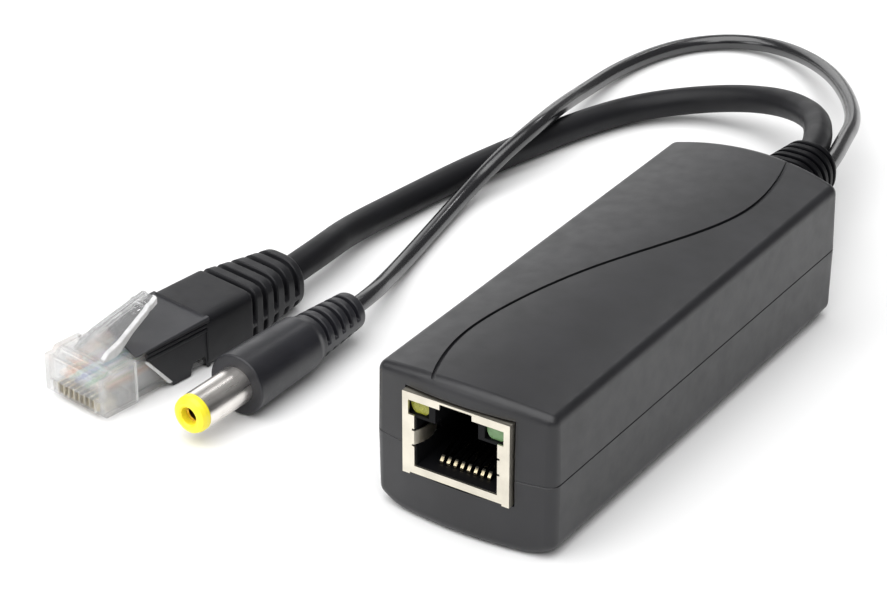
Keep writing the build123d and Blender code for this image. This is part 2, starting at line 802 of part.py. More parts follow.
def plug_body():
    """Clear plug moulded in one piece with its sprung latch."""
    half = plug_width / 2
    low = plug_lift
    high = plug_lift + plug_height
    side_outline = Polyline(
        (0, low + 0.5), (0.5, low), (plug_length, low), (plug_length, high),
        (plug_nose_length, high), (1.9, high), (1.4, high - 0.6), (0, high - 0.6), (0, low + 0.5))
    body = extrude(Plane.YZ * make_face(side_outline), amount=half, both=True)
    rear_half = plug_rear_width / 2
    for s in (-1, 1):
        side = (min(s * rear_half, s * (half + 1)), max(s * rear_half, s * (half + 1)))
        body -= block(side[0], side[1], plug_rear_start, plug_length + 1, low - 1, high + 1)
    inner = rear_half - plug_wall
    body -= block(-inner, inner, 7.0, plug_length + 1, low + 1.0, high - 0.9)
    body -= block(-inner + 0.1, inner - 0.1, 2.0, 7.5, low + 2.3, low + 4.4)
    first = -(contact_count - 1) / 2 * contact_pitch
    for i in range(contact_count):
        x = first + i * contact_pitch
        body -= block(x - 0.22, x + 0.22, -1, 3.4, low - 1, low + 2.2)
    root_y = plug_nose_length - 1.6
    rise = math.degrees(math.atan2(latch_rise, latch_length))
    lever = latch_outline()
    blade = extrude(lever, amount=latch_thickness)
    blade = Pos(0, root_y, high - 0.5) * Rot(rise, 0, 0) * blade
    root = block(-latch_width / 2, latch_width / 2, root_y - 1.2, root_y + 0.9, high - 0.6, high + 0.55)
    return body + blade + root


def latch_outline():
    """Latch from above: wide root, shoulders that catch in the socket, narrow tail."""
    a = latch_width / 2
    b = latch_tail_width / 2
    n = latch_length
    points = [(-a, 0), (a, 0), (a, n * 0.38), (a - 0.4, n * 0.42), (b, n * 0.42), (b, n), (-b, n),
              (-b, n * 0.42), (-a + 0.4, n * 0.42), (-a, n * 0.38), (-a, 0)]
    return make_face(Polyline(*points))


def plug_contacts():
    """Eight blades that stand in the slots of the nose, with a rounded working edge."""
    blades = []
    low = plug_lift
    first = -(contact_count - 1) / 2 * contact_pitch
    outline = Polyline((0.35, low + 0.55), (0.75, low + 0.25), (3.2, low + 0.25), (3.2, low + 2.1),
                       (0.35, low + 2.1), (0.35, low + 0.55))
    for i in range(contact_count):
        x = first + i * contact_pitch
        blades.append(Pos(x, 0, 0) * extrude(Plane.YZ * make_face(outline), amount=0.17, both=True))
    return Compound(children=blades)


def plug_wires():
    """Eight insulated cores side by side over the contact blades."""
    cores = []
    first = -(contact_count - 1) / 2 * contact_pitch
    z = plug_lift + 3.3
    start = 2.2
    length = boot_core_start - 1.0 - start
    for i in range(contact_count):
        x = first + i * contact_pitch
        cores.append(Pos(x, start + length / 2, z) * Rot(90, 0, 0) * Cylinder(0.46, length))
    return Compound(children=cores)


def rounded_section(width, height, radius, y, z):
    """Upright rectangle with round corners in the plane at y, centred at height z."""
    return Pos(0, y, z) * (Plane.XZ * RectangleRounded(width, height, radius))


def boot_section(y, share, inset):
    """Section of the boot's tail at y, share of the way from its start to its end."""
    width = boot_width + share * (boot_end_width - boot_width) - 2 * inset
    height = boot_height + share * (boot_end_height - boot_height) - 2 * inset
    radius = 1.5 + 2.1 * share - 0.8 * inset
    return rounded_section(width, height, radius, y, boot_axis_height)


def side_plate(outline, width):
    """Plate across the plug, from an outline seen from the side."""
    return extrude(Plane.YZ * make_face(Polyline(*outline, close=True)), amount=width / 2, both=True)


def plug_boot():
    """Black boot moulded over the rear of the plug: tongue with rails, cheeks, ribbed tail."""
    top = plug_lift + plug_height
    back = boot_body_start + 0.5
    low = boot_rail_low
    tongue = [(boot_start, low), (boot_start, top + 0.4), (back, top + 0.75), (back, low)]
    shape = side_plate(tongue, boot_rail_width)
    for z in (low + 0.45, low + 1.15):
        for s in (-1, 1):
            inner = s * (boot_rail_width / 2 - 0.2)
            outer = s * boot_rail_width
            shape -= block(min(inner, outer), max(inner, outer), boot_start + 0.4, back, z, z + 0.3)
    notch = boot_body_start - 3.3
    front = boot_start + boot_cheek_setback
    cheek = [(front + 0.2, low + 0.1), (front + 4.6, 0.15), (notch, 0.15), (notch + 0.5, 2.1),
             (notch + 2.8, 2.1), (notch + 3.2, 0.15), (back, 0.15), (back, low + 0.1)]
    shape += side_plate(cheek, boot_cheek_width)
    shape += extrude(boot_section(boot_body_start, 0.0, 0.0), amount=boot_body_start - boot_body_end)
    tail = loft([boot_section(boot_body_end, 0.0, 0.0).face(), boot_section(boot_end, 1.0, 0.0).face()])
    depth = boot_groove_depth
    core = loft([boot_section(boot_body_end, 0.0, depth).face(), boot_section(boot_end, 1.0, depth).face()])
    web = block(-20, 20, boot_body_end - 1, boot_end + 1, boot_web_low, boot_web_low + boot_web)
    for i in range(boot_groove_count):
        y = boot_body_end + 0.3 + i * boot_groove_pitch
        tail -= block(-20, 20, y, y + boot_groove_width, -5, 20) - core - web
    shape += fillet(tail.faces().sort_by(Axis.Y)[-1].edges(), 0.7)
    fit = boot_fit
    half = plug_rear_width / 2 + fit
    shape -= block(-half, half, boot_start - 1, plug_length + fit, plug_lift - fit, top + fit)
    shape -= block(-plug_width, plug_width, boot_start - 1, plug_rear_start + fit, -1, top + fit)
    half = plug_rear_width / 2 - plug_wall - fit
    core_low = plug_lift + 1.0 + fit
    return shape + block(-half, half, boot_core_start, plug_length + 1, core_low, top - 0.9 - fit)


def dc_plug_body():
    """Moulded grip: drum with a slight taper, shoulder, and a slotted ribbed tail."""
    y0 = dc_barrel_length
    y1 = y0 + dc_body_length
    y2 = y1 + dc_relief_length
    r0 = dc_body_diameter / 2
    r1 = dc_body_rear_diameter / 2
    r2 = dc_relief_diameter / 2
    r3 = dc_relief_end_diameter / 2
    outline = Polyline((0, y0), (r0 - 0.35, y0), (r0, y0 + 0.35), (r1, y1 - 1.0), (r2, y1 + 0.4),
                       (r3, y2 - 0.5), (r3 - 0.5, y2), (0, y2), (0, y0))
    body = revolve(make_face(outline), axis=Axis.Y)
    slim = Polyline((0, y1), (r2 - dc_groove_depth, y1), (r3 - dc_groove_depth, y2), (0, y2), (0, y1))
    core = revolve(make_face(slim), axis=Axis.Y)
    web = block(-20, 20, y1 - 1, y2 + 1, -dc_web / 2 - 0.6, dc_web / 2 - 0.6)
    pitch = (dc_relief_length - 2.4) / (dc_groove_count - 0.4)
    for i in range(dc_groove_count):
        y = y1 + 1.1 + i * pitch
        body -= block(-20, 20, y, y + dc_groove_width, -20, 20) - core - web
    shank = dc_barrel_diameter / 2 - dc_shank_step
    return body - Pos(0, y0 + dc_shank_length / 2, 0) * Rot(90, 0, 0) * Cylinder(shank, dc_shank_length)


def dc_barrel():
    """Outer sleeve of the power plug, with a narrower shank that the grip is moulded round."""
    outer = dc_barrel_diameter / 2
    shank = outer - dc_shank_step
    bore = outer - dc_barrel_wall
    end = dc_barrel_length + dc_shank_length
    outline = Polyline((bore, dc_tip_length), (outer, dc_tip_length), (outer, dc_barrel_length),
                       (shank, dc_barrel_length), (shank, end), (bore, end), close=True)
    return revolve(make_face(outline), axis=Axis.Y)


def dc_insulator():
    """Coloured insulator: a collar with a rounded nose and a sleeve inside the barrel."""
    r = dc_barrel_diameter / 2
    bore = dc_bore_diameter / 2 + 0.25
    inner = r - dc_barrel_wall - 0.03
    length = dc_barrel_length + dc_shank_length - 1.0
    outline = Polyline((bore, 0.25), (bore + 0.25, 0), (r - 0.8, 0), (r - 0.25, 0.3), (r - 0.05, 0.9),
                       (r - 0.05, dc_tip_length - 0.02),
                       (inner, dc_tip_length - 0.02), (inner, length), (bore, length), (bore, 0.25))
    return revolve(make_face(outline), axis=Axis.Y)


def dc_contact():
    """Sprung inner tube that takes the pin of the power socket."""
    outer = dc_bore_diameter / 2 + 0.22
    bore = dc_bore_diameter / 2
    end = dc_barrel_length + dc_shank_length - 1.0
    outline = Polyline((bore + 0.1, 1.3), (outer, 1.3), (outer, end),
                       (bore, end), (bore, 1.5), (bore + 0.1, 1.3))
    return revolve(make_face(outline), axis=Axis.Y)


parts = {
    "top_cover": top_cover(),
    "bottom_cover": bottom_cover(),
    "jack_shield": jack_shield(),
    "jack_housing": jack_housing(),
    "jack_contacts": jack_contacts(),
    "amber_lamp": led(-1),
    "green_lamp": led(1),
    "circuit_board": circuit_board(),
    "lan_transformer": leaded_chip(**magnetics_chip),
    "power_controller": leaded_chip(**controller_chip),
    "bridge_rectifiers": Compound(children=[leaded_chip(y=y, **rectifier_chip) for y in rectifier_rows]),
    "input_capacitor": round_capacitor(**input_capacitor),
    "output_capacitors": Compound(children=[round_capacitor(y=y, **output_capacitors) for y in output_rows]),
    "transformer_core": transformer_core(),
    "transformer_bobbin": transformer_bobbin(),
    "transformer_winding": transformer_winding(),
    "output_choke": choke_coil(),
    "output_diode": chip(**diode_chip),
    "opto_coupler": leaded_chip(**coupler_chip),
    "chip_resistors": small_parts(resistor_places, *resistor_size),
    "chip_capacitors": small_parts(chip_capacitor_places, *capacitor_chip_size),
    "data_leads": inner_leads(data_exit_x - 1.0, relief_axis_height - 0.4, data_lead_places, 1.1),
    "power_leads": inner_leads(power_exit_x + 2.6, relief_axis_height - 0.4, power_lead_places, 1.4),
    "strain_relief": strain_relief(),
    "data_cable": tube(data_route, data_lead_diameter, "data cable"),
    "power_cable": tube(power_route, power_lead_diameter, "power cable"),
    "plug_body": plug_place() * plug_body(),
    "plug_contacts": plug_place() * plug_contacts(),
    "plug_wires": plug_place() * plug_wires(),
    "plug_boot": plug_place() * plug_boot(),
    "dc_plug_body": dc_place() * dc_plug_body(),
    "dc_barrel": dc_place() * dc_barrel(),
    "dc_insulator": dc_place() * dc_insulator(),
    "dc_contact": dc_place() * dc_contact(),
}

for name, shape in parts.items():
    export_step(shape, "parts/" + name + ".step")
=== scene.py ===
# %% [markdown]
# # A splitter for powered network cable, dressed in Blender
# A small black case takes one network cable in and gives two short leads out: a thick
# one to a clear network plug and a thin one to a round power plug. The measured solid
# model is loaded first and never changed. Each cell then adds one finish or one piece
# over it: the finishes of case, socket and board, the leads, the ribbed tails, the plugs.

# %% Load the solid model
import math

import bmesh
import bpy
import numpy as np
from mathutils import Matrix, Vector


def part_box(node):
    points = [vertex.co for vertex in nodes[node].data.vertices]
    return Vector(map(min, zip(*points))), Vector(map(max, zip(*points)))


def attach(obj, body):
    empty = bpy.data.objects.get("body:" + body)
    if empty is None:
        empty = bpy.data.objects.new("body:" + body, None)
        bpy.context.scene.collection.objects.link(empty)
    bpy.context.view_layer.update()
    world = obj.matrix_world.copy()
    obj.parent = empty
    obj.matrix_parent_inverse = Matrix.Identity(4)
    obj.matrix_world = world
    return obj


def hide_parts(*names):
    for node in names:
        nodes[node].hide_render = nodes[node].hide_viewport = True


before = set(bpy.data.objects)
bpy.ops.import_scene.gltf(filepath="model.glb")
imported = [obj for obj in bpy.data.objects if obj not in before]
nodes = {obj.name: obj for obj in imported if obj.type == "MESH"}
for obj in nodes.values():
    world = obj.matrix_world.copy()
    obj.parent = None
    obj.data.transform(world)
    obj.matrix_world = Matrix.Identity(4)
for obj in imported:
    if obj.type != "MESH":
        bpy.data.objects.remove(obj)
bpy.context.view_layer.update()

MM = 0.001
scene = bpy.context.scene

# %% [markdown]
# The camera comes first, because everything else is judged through it. The photograph
# was taken with a long lens from the right of the socket, about thirty degrees up. A
# camera is easiest to place by the point it looks at, its turn round the object, its
# height angle and its distance.

# %% Camera
IMAGE_WIDTH_PX = 887
FOCAL_PX = 3106.0
SENSOR_MM = 36.0
NEAREST_SEEN_M = 0.01
LOOK_AT = np.array([-1.77, -39.75, 34.07]) * MM
AZIMUTH, ELEVATION, DISTANCE = math.radians(33.41), math.radians(29.38), 379.2 * MM


def add_object(name, data):
    """Puts an object made of the given data into the scene, at the origin."""
    piece = bpy.data.objects.new(name, data)
    scene.collection.objects.link(piece)
    return piece


towards_camera = np.array([
    math.sin(AZIMUTH) * math.cos(ELEVATION),
    -math.cos(AZIMUTH) * math.cos(ELEVATION),
    math.sin(ELEVATION),
])
camera_data = bpy.data.cameras.new("camera")
camera_data.sensor_width = SENSOR_MM
camera_data.lens = FOCAL_PX * SENSOR_MM / IMAGE_WIDTH_PX
camera_data.clip_start = NEAREST_SEEN_M
camera = add_object("camera", camera_data)
camera.location = Vector(LOOK_AT + DISTANCE * towards_camera)
camera.rotation_euler = Vector(-towards_camera).to_track_quat("-Z", "Y").to_euler()
scene.camera = camera
print("camera at", [round(v, 3) for v in camera.location], "lens", round(camera_data.lens, 1), "mm")

# %% [markdown]
# Every moulded plastic here is a Principled shader with three layers of detail: a soft
# mottle in its colour, a fine grain in its surface, and a roughness that varies a little
# where hands have polished it. All three read Object coordinates, so they stay on the
# piece. Values that are the same all over go straight on the shader's own sockets.

# %% Material helpers
MOTTLE, POLISH, PLATING, SCRATCHES = 140, 420, 260, 2600
NOISE_MIDDLE = (0.3, 0.7)


def new_material(name):
    """Empty node material with a Principled shader: returns material, node tree, shader."""
    material = bpy.data.materials.new(name)
    material.use_nodes = True
    tree = material.node_tree
    return material, tree, tree.nodes["Principled BSDF"]


def noise(tree, scale, detail=3.0, stretch=(1, 1, 1)):
    """Noise on Object coordinates; scale is in ripples per metre along each axis."""
    coordinates = tree.nodes.new("ShaderNodeTexCoord")
    mapping = tree.nodes.new("ShaderNodeMapping")
    mapping.inputs["Scale"].default_value = stretch
    texture = tree.nodes.new("ShaderNodeTexNoise")
    texture.inputs["Scale"].default_value = scale
    texture.inputs["Detail"].default_value = detail
    tree.links.new(coordinates.outputs["Object"], mapping.inputs["Vector"])
    tree.links.new(mapping.outputs["Vector"], texture.inputs["Vector"])
    return texture.outputs["Fac"]


def ramp(tree, fac, low, high, start=0.35, end=0.65):
    """Colour ramp from low to high between two values of fac."""
    node = tree.nodes.new("ShaderNodeValToRGB")
    first, last = node.color_ramp.elements
    first.position, last.position = start, end
    first.color, last.color = (*low, 1), (*high, 1)
    tree.links.new(fac, node.inputs["Fac"])
    return node.outputs["Color"]


def span(tree, fac, low, high, source=NOISE_MIDDLE):
    """Map Range: source, by default the middle of a noise, becomes low to high."""
    node = tree.nodes.new("ShaderNodeMapRange")
    node.inputs["From Min"].default_value, node.inputs["From Max"].default_value = source
    node.inputs["To Min"].default_value, node.inputs["To Max"].default_value = low, high
    tree.links.new(fac, node.inputs["Value"])
    return node.outputs["Result"]


def bump(tree, shader, fac, height_mm):
    """Fine relief of the given height under the shader."""
    node = tree.nodes.new("ShaderNodeBump")
    node.inputs["Distance"].default_value = height_mm * MM
    node.inputs["Strength"].default_value = 1.0
    tree.links.new(fac, node.inputs["Height"])
    tree.links.new(node.outputs["Normal"], shader.inputs["Normal"])


print("helpers: a noise of scale", MOTTLE, "has a ripple about every", round(1 / MOTTLE / MM, 1), "mm")

# %% [markdown]
# Two families of finish cover nearly everything. A moulding is a dark colour whose tone
# comes mostly from what its skin mirrors, so the specular level and the roughness matter
# more than the colour. A plated metal is drawn or rolled, so its scratches are a noise
# that is stretched along one axis.

# %% Two families of finish
def moulded(name, colour, rough=(0.4, 0.5), grain=9000, height_mm=0.012, spread=0.18, specular=0.5):
    """Moulded plastic or rubber: mottled colour, grained surface, uneven polish."""
    material, tree, shader = new_material(name)
    colour = np.array(colour)
    low, high = tuple(colour * (1 - spread)), tuple(colour * (1 + spread))
    tree.links.new(ramp(tree, noise(tree, MOTTLE), low, high), shader.inputs["Base Color"])
    tree.links.new(span(tree, noise(tree, POLISH), *rough), shader.inputs["Roughness"])
    bump(tree, shader, noise(tree, grain, 2.0), height_mm)
    shader.inputs["Specular IOR Level"].default_value = specular
    return material


def metal(name, colour, rough=(0.2, 0.32), stretch=(1, 0.05, 1), height_mm=0.004):
    """Plated metal: fine drawing lines along one axis over a slightly cloudy shine."""
    material, tree, shader = new_material(name)
    colour = np.array(colour)
    low, high = tuple(colour * 0.9), tuple(np.minimum(colour * 1.06, 1))
    tree.links.new(ramp(tree, noise(tree, PLATING), low, high), shader.inputs["Base Color"])
    lines = noise(tree, SCRATCHES, 3.0, stretch)
    tree.links.new(span(tree, lines, *rough), shader.inputs["Roughness"])
    bump(tree, shader, lines, height_mm)
    shader.inputs["Metallic"].default_value = 1.0
    return material


print("scratches lie about", round(1 / SCRATCHES / MM, 2), "mm apart and run 20 times as long")

# %% [markdown]
# The case is a near-black plastic with a satin skin. The thick lead is matt. The thin
# one is glossy enough to carry a bright line along its top. The boot's tongue is the
# boot's black, more polished, with a lighter colour painted in as light on its top face,
# and the rubber relief mirrors almost nothing. The socket's can is warm plated sheet, and
# the power plug's sleeve is bright nickel.

# %% Finishes that show
case_plastic = moulded(
    "case_plastic", (0.011, 0.011, 0.013), rough=(0.36, 0.44), grain=5200, height_mm=0.006)
relief_rubber = moulded(
    "relief_rubber", (0.003, 0.003, 0.004), rough=(0.35, 0.45), grain=7000, height_mm=0.02, specular=0.06)
data_jacket = moulded(
    "data_jacket", (0.006, 0.006, 0.0075), rough=(0.42, 0.5), grain=5000, height_mm=0.02, specular=0.26)
power_jacket = moulded(
    "power_jacket", (0.006, 0.006, 0.0075), rough=(0.2, 0.26), grain=4000, height_mm=0.008, specular=1.0)
boot_plastic = moulded(
    "boot_plastic", (0.008, 0.008, 0.010), rough=(0.4, 0.5), grain=6000, height_mm=0.015, specular=0.36)
# The tongue's lighter colour is painted light on the top of the one-piece black boot.
tongue_painted_light = moulded(
    "tongue_painted_light", (0.030, 0.030, 0.034), rough=(0.34, 0.42), grain=6000, height_mm=0.01)
grip_plastic = moulded(
    "grip_plastic", (0.013, 0.013, 0.017), rough=(0.34, 0.44), grain=5000, height_mm=0.02, specular=0.55)
socket_plastic = moulded("socket_plastic", (0.004, 0.004, 0.005), rough=(0.55, 0.65), specular=0.15)
tip_yellow = moulded("tip_yellow", (1.0, 0.86, 0.04), rough=(0.3, 0.4), spread=0.06, height_mm=0.006)
shield_metal = metal("shield_metal", (0.735, 0.69, 0.59), rough=(0.3, 0.42), stretch=(0.05, 1, 1))
barrel_nickel = metal("barrel_nickel", (0.94, 0.90, 0.86), rough=(0.26, 0.34))
contact_gold = metal("contact_gold", (0.90, 0.68, 0.32), rough=(0.18, 0.28))
blade_gilt = metal("blade_gilt", (0.80, 0.72, 0.55), rough=(0.3, 0.4))
print("finishes that show:", len(bpy.data.materials))

# %% [markdown]
# The board inside is hidden while the case is shut, but it is in the model, so it gets
# its own finishes too: green board, black chips, grey ferrite, yellow winding tape.

# %% Finishes inside the case
board_green = moulded("board", (0.02, 0.13, 0.045), rough=(0.25, 0.35), spread=0.3)
chip_plastic = moulded("chip_plastic", (0.022, 0.022, 0.024), rough=(0.55, 0.65))
ferrite = moulded("ferrite", (0.07, 0.07, 0.075), rough=(0.45, 0.6), spread=0.25)
winding_tape = moulded("winding_tape", (0.62, 0.42, 0.05), rough=(0.25, 0.35))
capacitor_sleeve = moulded("capacitor_sleeve", (0.02, 0.035, 0.09), rough=(0.25, 0.35))
ceramic = moulded("ceramic", (0.45, 0.33, 0.2), rough=(0.4, 0.5))
core_insulation = moulded("wire_insulation", (0.45, 0.28, 0.18), rough=(0.3, 0.4), spread=0.5)
print("finishes so far:", len(bpy.data.materials))

# %% [markdown]
# The eight contacts of the socket catch the light only at their front bends, as a row of
# bright dots, and are lost in the dark behind. A separate mesh for the tips would leave
# a seam. A switch of colour along the contact does it on the solid's own mesh: gilt up
# to a line just behind the bends, and after it a near-black painted shade for the dark inside the socket.

# %% Gilt tips and painted shade of the socket's contacts
GILT_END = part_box("jack_contacts")[0][1] + 0.3 * MM
GILT_SOFTNESS = 0.15 * MM
# The second colour is near-black painted shade on the contacts behind their bends.
GILT, PAINTED_SHADE_REAR = (0.95, 0.82, 0.55), (0.03, 0.028, 0.024)

contact_gilt_painted_shade, tree, shader = new_material("contact_gilt_painted_shade")
coordinates = tree.nodes.new("ShaderNodeTexCoord")
axes = tree.nodes.new("ShaderNodeSeparateXYZ")
tree.links.new(coordinates.outputs["Object"], axes.inputs["Vector"])
behind = span(tree, axes.outputs["Y"], 0.0, 1.0, (GILT_END - GILT_SOFTNESS, GILT_END + GILT_SOFTNESS))
tree.links.new(ramp(tree, behind, GILT, PAINTED_SHADE_REAR, 0, 1), shader.inputs["Base Color"])
tree.links.new(span(tree, noise(tree, SCRATCHES), 0.2, 0.3), shader.inputs["Roughness"])
shader.inputs["Metallic"].default_value = 1.0
print("gilt ends at y =", round(GILT_END / MM, 2), "mm")

# %% [markdown]
# Eight cores lie side by side in the clear plug, in pale and full pairs of orange, green,
# blue and brown, in the usual order. They are one node, so their colours are bands across
# the plug. A Mapping node of type Texture turns the pattern to the plug's own direction,
# and a ramp without blending gives each core its colour.

# %% Colours of the cores in the clear plug
PLUG_X, PLUG_Y, PLUG_TURN = -60.2, -42.0, 8.5
CORES_HALF_WIDTH = 4.08 * MM
CLOUDS = 900
CORE_COLOURS = [
    (0.9, 0.72, 0.6), (0.8, 0.4, 0.22), (0.7, 0.85, 0.7), (0.32, 0.4, 0.7),
    (0.7, 0.76, 0.88), (0.28, 0.55, 0.34), (0.8, 0.72, 0.64), (0.45, 0.28, 0.2),
]

plug_cores, tree, shader = new_material("plug_cores")
coordinates = tree.nodes.new("ShaderNodeTexCoord")
along_plug = tree.nodes.new("ShaderNodeMapping")
along_plug.vector_type = "TEXTURE"
along_plug.inputs["Location"].default_value = (PLUG_X * MM, PLUG_Y * MM, 0)
along_plug.inputs["Rotation"].default_value = (0, 0, -math.radians(PLUG_TURN))
axes = tree.nodes.new("ShaderNodeSeparateXYZ")
tree.links.new(coordinates.outputs["Object"], along_plug.inputs["Vector"])
tree.links.new(along_plug.outputs["Vector"], axes.inputs["Vector"])
across = span(tree, axes.outputs["X"], 0.0, 1.0, (-CORES_HALF_WIDTH, CORES_HALF_WIDTH))
bands = tree.nodes.new("ShaderNodeValToRGB")
bands.color_ramp.interpolation = "CONSTANT"
stops = bands.color_ramp.elements
for k, colour in enumerate(CORE_COLOURS):
    stop = stops[k] if k < 2 else stops.new(k / len(CORE_COLOURS))
    stop.position = k / len(CORE_COLOURS)
    stop.color = (*colour, 1)
tree.links.new(across, bands.inputs["Fac"])
tree.links.new(bands.outputs["Color"], shader.inputs["Base Color"])
tree.links.new(span(tree, noise(tree, CLOUDS), 0.3, 0.4), shader.inputs["Roughness"])
print("core colours:", len(stops))

# %% [markdown]
# The lenses of the two lamps are cloudy and tinted. The lamps are off, so they only pass
# a little of the light that reaches them. The network plug is clear: most of its tone is
# what lies behind it, and a share of it goes straight through, which keeps many thin
# walls in a row from turning grey. A whiter, less clear copy of the plastic is a painted
# highlight on the latch's lit edge.

# %% Clear and tinted plastics
HAZE = 500


def tinted(name, colour, rough=0.25, clear=0.3):
    """Partly see-through plastic with a cloudy tint; clear is the share that passes light."""
    material, tree, shader = new_material(name)
    low = tuple(np.array(colour) * 0.8)
    tree.links.new(ramp(tree, noise(tree, CLOUDS), low, colour), shader.inputs["Base Color"])
    tree.links.new(span(tree, noise(tree, HAZE), rough, rough + 0.1), shader.inputs["Roughness"])
    shader.inputs["Transmission Weight"].default_value = clear
    return material


amber_lens = tinted("amber_lens", (0.50, 0.50, 0.06))
green_lens = tinted("green_lens", (0.25, 0.45, 0.2))
clear_plastic = tinted("clear_plastic", (1.0, 1.0, 1.0), rough=0.02, clear=0.85)
# A whiter, less clear copy of the clear plastic is a painted highlight on lit edges.
painted_highlight_white = tinted("painted_highlight_white", (1.0, 1.0, 1.0), rough=0.05, clear=0.25)
for material, opacity in ((clear_plastic, 0.47), (painted_highlight_white, 0.8)):
    shader = material.node_tree.nodes["Principled BSDF"]
    shader.inputs["IOR"].default_value = 1.5
    shader.inputs["Alpha"].default_value = opacity
print("finishes in all:", len(bpy.data.materials))

# %% [markdown]
# Every solid of the measured model now gets its finish. Its shape has been measured, so
# only its list of materials changes, never its mesh.

# %% Dress the solids
def dress(node, material):
    """Gives a CAD node its finish and leaves its mesh alone."""
    data = nodes[node].data
    data.materials.clear()
    data.materials.append(material)


FINISHES = {
    "top_cover": case_plastic, "bottom_cover": case_plastic, "strain_relief": relief_rubber,
    "jack_shield": shield_metal, "jack_housing": socket_plastic, "jack_contacts": contact_gilt_painted_shade,
    "amber_lamp": amber_lens, "green_lamp": green_lens,
    "plug_body": clear_plastic, "plug_contacts": blade_gilt, "plug_wires": plug_cores,
    "plug_boot": boot_plastic, "dc_plug_body": grip_plastic, "dc_barrel": barrel_nickel,
    "dc_insulator": tip_yellow, "dc_contact": contact_gold,
    "circuit_board": board_green, "lan_transformer": chip_plastic, "power_controller": chip_plastic,
    "bridge_rectifiers": chip_plastic, "output_diode": chip_plastic, "opto_coupler": chip_plastic,
    "chip_resistors": chip_plastic, "chip_capacitors": ceramic, "output_choke": ferrite,
    "input_capacitor": capacitor_sleeve, "output_capacitors": capacitor_sleeve,
    "transformer_core": ferrite, "transformer_bobbin": chip_plastic,
    "transformer_winding": winding_tape, "data_leads": core_insulation, "power_leads": core_insulation,
}
for node, finish in FINISHES.items():
    dress(node, finish)
print("dressed", len(FINISHES), "of", len(nodes), "nodes; the other two are the leads' jackets")

# %% [markdown]
# The two leads are flexible, so each is a smooth NURBS curve through the air and along
# the floor, not bent rod. The control points are listed in the same order as a
# maker would lay the lead: straight out of the relief, down to the table, round the
# loop, and forward to its plug. The thin lead climbs over the thick one on its way.

# %% Leads
POWER_X, POWER_Y, POWER_TURN = -41.7, -40.9, 2.5
BOOT_END, POWER_END = 40.6, 35.7
BOOT_AXIS, POWER_AXIS = 4.2, 4.55
RELIEF_END, RELIEF_AXIS = 56.65, 12.1
DATA_EXIT_X, POWER_EXIT_X = -1.75, 2.05
DATA_DIAMETER, POWER_DIAMETER = 4.4, 2.5


def on_axis(x, y, turn_deg, along, z):
    """Point on a plug's own axis: its place plus along times its direction."""
    a = math.radians(turn_deg)
    return (x + along * math.sin(a), y + along * math.cos(a), z)


def lead(name, points, diameter_mm, material):
    """Round lead: a quadratic NURBS line through given points, with round section."""
    curve = bpy.data.curves.new(name, "CURVE")
    curve.dimensions = "3D"
    spline = curve.splines.new("NURBS")
    spline.points.add(len(points) - 1)
    flat = np.hstack([np.array(points) * MM, np.ones((len(points), 1))])
    spline.points.foreach_set("co", flat.ravel())
    spline.order_u = 3
    spline.use_endpoint_u = True
    spline.resolution_u = 12
    curve.bevel_depth = diameter_mm * MM / 2
    curve.bevel_resolution = 8
    curve.use_fill_caps = True
    curve.materials.append(material)
    return add_object(name, curve)


def stand_for(piece, node):
    """The piece rides on the body and stands for a CAD node, which it hides."""
    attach(piece, "root")
    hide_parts(node)


data_route = [
    (DATA_EXIT_X, RELIEF_END, RELIEF_AXIS), (-2.4, 61.5, 11.6), (-5.2, 69.0, 10.9),
    (-9.6, 76.4, 9.6), (-17.3, 82.1, 7.7), (-26.0, 84.2, 5.5), (-35.0, 82.5, 3.4),
    (-42.0, 76.9, 2.4), (-46.3, 67.4, 2.3), (-49.6, 55.4, 2.3), (-52.4, 43.4, 2.3),
    (-54.5, 30.2, 2.3), (-55.7, 16.5, 3.0), (-53.7, 6.4, 4.6),
    on_axis(PLUG_X, PLUG_Y, PLUG_TURN, BOOT_END, BOOT_AXIS),
]
power_route = [
    (POWER_EXIT_X, RELIEF_END, RELIEF_AXIS), (1.2, 61.0, 11.7), (-1.4, 69.6, 10.6),
    (-4.4, 79.4, 9.0), (-11.0, 90.9, 6.8), (-19.5, 101.5, 4.8), (-28.8, 108.7, 3.0),
    (-37.4, 111.4, 1.8), (-44.8, 108.6, 1.35), (-50.0, 101.4, 1.35), (-52.6, 90.0, 1.5),
    (-51.6, 77.0, 2.8), (-49.0, 65.7, 5.4), (-46.9, 56.5, 7.0), (-48.0, 47.0, 4.9),
    (-48.9, 38.0, 2.0), (-46.6, 23.7, 1.35), (-43.7, 10.1, 1.9), (-40.3, 0.0, 4.4),
    on_axis(POWER_X, POWER_Y, POWER_TURN, POWER_END, POWER_AXIS),
]
data_lead = lead("data_lead", data_route, DATA_DIAMETER, data_jacket)
power_lead = lead("power_lead", power_route, POWER_DIAMETER, power_jacket)
stand_for(data_lead, "data_cable")
stand_for(power_lead, "power_cable")
print("leads:", len(data_route), "and", len(power_route), "points")

# %% [markdown]
# Leads apart, each new piece is worked out as whole arrays. The round ones follow a few
# small laws, which say how a width or a height changes along the piece: an eased step
# for a slot or a shoulder, a straight change for a taper, a quarter circle for an end.

# %% Laws of change
def smooth_step(t):
    """Cubic ease from 0 to 1: 3 t squared minus 2 t cubed, with t held between 0 and 1."""
    t = np.clip(t, 0.0, 1.0)
    return t * t * (3.0 - 2.0 * t)


def inside(value, low, high, soft):
    """1 between low and high, 0 outside, with edges eased over the width soft."""
    return smooth_step((value - low) / soft + 0.5) * smooth_step((high - value) / soft + 0.5)


def between(along, start, end, low, high):
    """Straight change from low at start to high at end, held level outside."""
    return low + (high - low) * np.clip((along - start) / (end - start), 0, 1)


